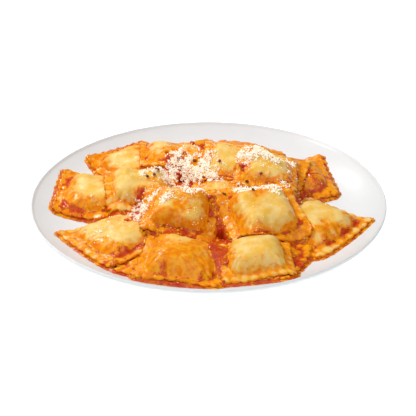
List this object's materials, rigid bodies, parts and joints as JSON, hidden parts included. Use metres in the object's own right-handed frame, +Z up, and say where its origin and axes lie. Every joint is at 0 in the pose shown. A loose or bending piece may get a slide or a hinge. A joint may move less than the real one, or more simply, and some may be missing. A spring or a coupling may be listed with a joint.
{
  "type": "plate of ravioli in tomato sauce",
  "caption": "Round white coupe plate heaped with square fluted ravioli in tomato sauce, under grated cheese and dark chilli flakes; a plated meal to be served or eaten.",
  "frame": {"origin": "centre of the foot ring's flat underside, on the table", "axes": "+Z up, -Y towards the diner, +X to the diner's right"},
  "size_m": [0.26, 0.26, 0.0491],
  "materials": {
    "glazed_china": "smooth glossy white glaze",
    "tomato_sauce": "wet, oily and thick",
    "egg_pasta": "moist cooked dough, partly glazed with orange oil and sauce"
  },
  "bodies": {
    "root": {"plate": "glazed_china", "sauce": "tomato_sauce", "raviolo_core_low": "egg_pasta", "raviolo_core_right": "egg_pasta", "raviolo_back_right": "egg_pasta", "raviolo_right_back": "egg_pasta", "raviolo_front_low": "egg_pasta", "raviolo_back_left": "egg_pasta", "raviolo_left_front": "egg_pasta", "raviolo_left": "egg_pasta", "raviolo_right": "egg_pasta", "raviolo_front_right_low": "egg_pasta", "raviolo_front": "egg_pasta", "raviolo_front_right": "egg_pasta", "raviolo_middle_left": "egg_pasta", "raviolo_back_middle": "egg_pasta", "raviolo_core_high": "egg_pasta", "raviolo_right_middle": "egg_pasta", "raviolo_top_left": "egg_pasta", "raviolo_top_back": "egg_pasta", "raviolo_top_right": "egg_pasta", "raviolo_middle": "egg_pasta", "raviolo_middle_right": "egg_pasta"}
  },
  "joints": []
}
